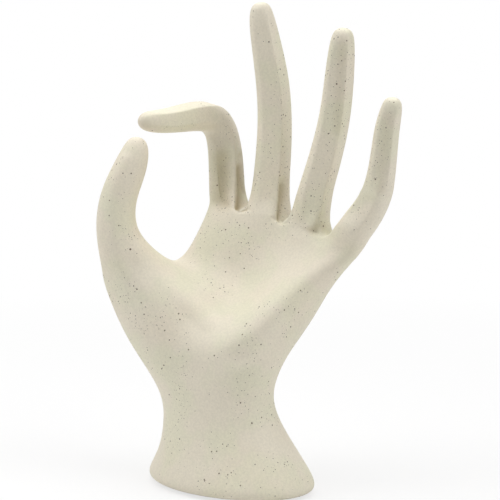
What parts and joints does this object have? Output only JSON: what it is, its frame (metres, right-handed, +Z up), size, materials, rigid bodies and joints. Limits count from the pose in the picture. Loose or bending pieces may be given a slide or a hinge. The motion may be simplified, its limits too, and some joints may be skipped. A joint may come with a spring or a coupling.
{
  "type": "hand statuette",
  "caption": "Free-standing hollow ceramic hand statuette making the OK sign, rising from a flared oval foot on felt pads.",
  "frame": {"origin": "under the middle of the whole outline, on the surface that the pads stand on", "axes": "+Z up, +X to the little finger's side, -Y the way that the palm faces"},
  "size_m": [0.1476, 0.086, 0.2434],
  "materials": {
    "stoneware": "matte cream glaze with fine dark speckle",
    "felt": "pressed wool felt"
  },
  "bodies": {
    "root": {"hand": "stoneware", "foot_pad_front_left": "felt", "foot_pad_front_right": "felt", "foot_pad_rear_left": "felt", "foot_pad_rear_right": "felt"}
  },
  "joints": []
}
